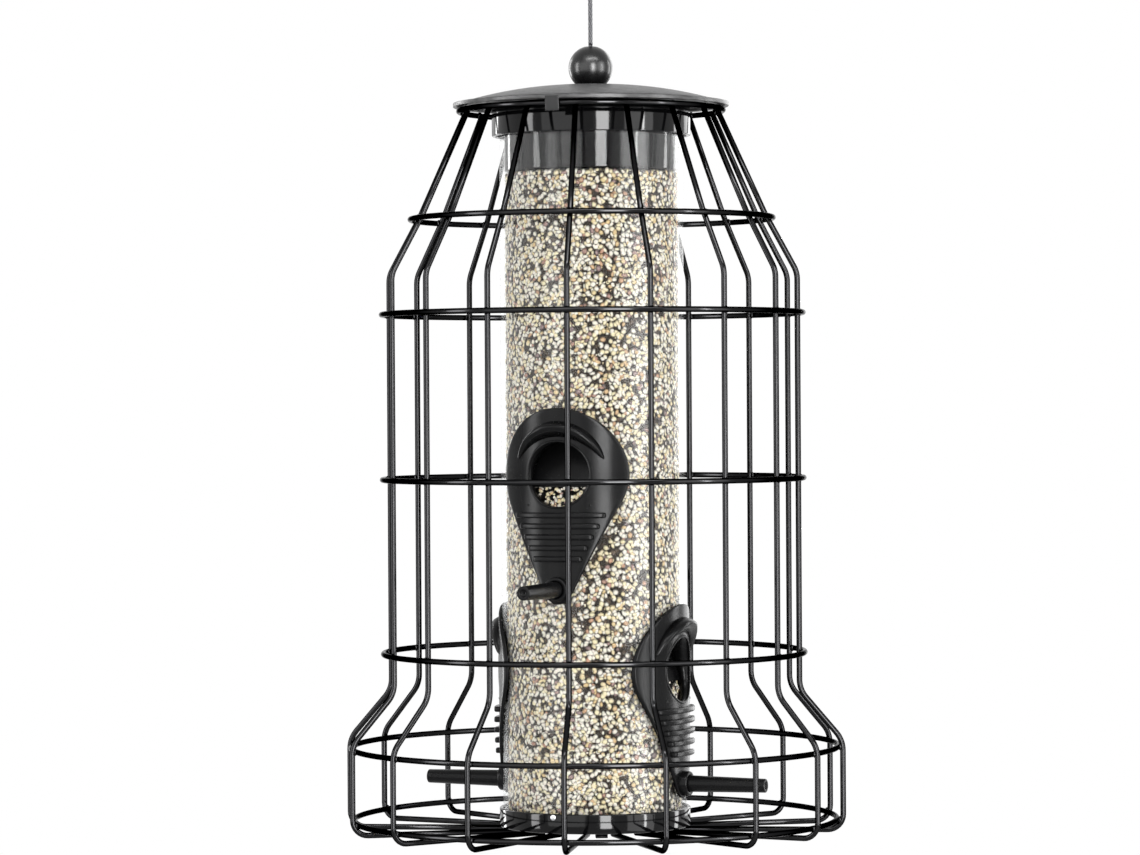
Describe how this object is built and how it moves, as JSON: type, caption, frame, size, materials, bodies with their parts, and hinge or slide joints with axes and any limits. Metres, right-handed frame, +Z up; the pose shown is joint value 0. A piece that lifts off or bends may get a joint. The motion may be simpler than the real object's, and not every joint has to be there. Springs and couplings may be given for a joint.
{
  "type": "squirrel proof bird feeder",
  "caption": "Clear seed tube with perched feeding ports inside a round cage of welded wire, under a domed lid that slides up the steel rope it hangs by.",
  "frame": {"origin": "the underside of the top of the rope's eye, where the hook carries the feeder", "axes": "+Z up along the rope and the tube's axis, -Y out through the front upper port, +X out through the right lower port"},
  "size_m": [0.2184, 0.2184, 0.4351],
  "materials": {
    "coated_wire": "gloss",
    "satin_plastic": "satin",
    "gloss_plastic": "gloss",
    "clear_tube": "clear gloss",
    "seed": "matte",
    "painted_sheet": "satin",
    "steel": "brushed"
  },
  "bodies": {
    "feeder": {"anchor_ferrule": "steel", "anchor_washer": "steel", "back_perch": "satin_plastic", "back_port": "satin_plastic", "base_cup": "gloss_plastic", "base_ring": "coated_wire", "cage_wire_01": "coated_wire", "cage_wire_02": "coated_wire", "cage_wire_03": "coated_wire", "cage_wire_04": "coated_wire", "cage_wire_05": "coated_wire", "cage_wire_06": "coated_wire", "cage_wire_07": "coated_wire", "cage_wire_08": "coated_wire", "cage_wire_09": "coated_wire", "cage_wire_10": "coated_wire", "cage_wire_11": "coated_wire", "cage_wire_12": "coated_wire", "cage_wire_13": "coated_wire", "cage_wire_14": "coated_wire", "cage_wire_15": "coated_wire", "cage_wire_16": "coated_wire", "core_rope": "steel", "cup_pins": "steel", "eye_ferrule": "steel", "front_perch": "satin_plastic", "front_port": "satin_plastic", "hanging_rope": "steel", "left_perch": "satin_plastic", "left_port": "satin_plastic", "lower_ring": "coated_wire", "middle_ring": "coated_wire", "right_perch": "satin_plastic", "right_port": "satin_plastic", "rope_eye": "steel", "seat_ring": "coated_wire", "seed_fill": "seed", "seed_tube": "clear_tube", "shoulder_ring": "coated_wire", "skirt_ring": "coated_wire", "top_ring": "coated_wire", "upper_ring": "coated_wire"},
    "lid": {"roof": "painted_sheet", "roof_eyelet": "steel", "top_cap": "gloss_plastic"},
    "ball": {"stop_ball": "gloss_plastic"}
  },
  "joints": [
    {"name": "lid_lift", "type": "slide", "parent": "feeder", "child": "lid", "axis": [0, 0, 1], "range_m": [0, 0.05]},
    {"name": "ball_slide", "type": "slide", "parent": "lid", "child": "ball", "axis": [0, 0, 1], "range_m": [0, 0.006]}
  ]
}
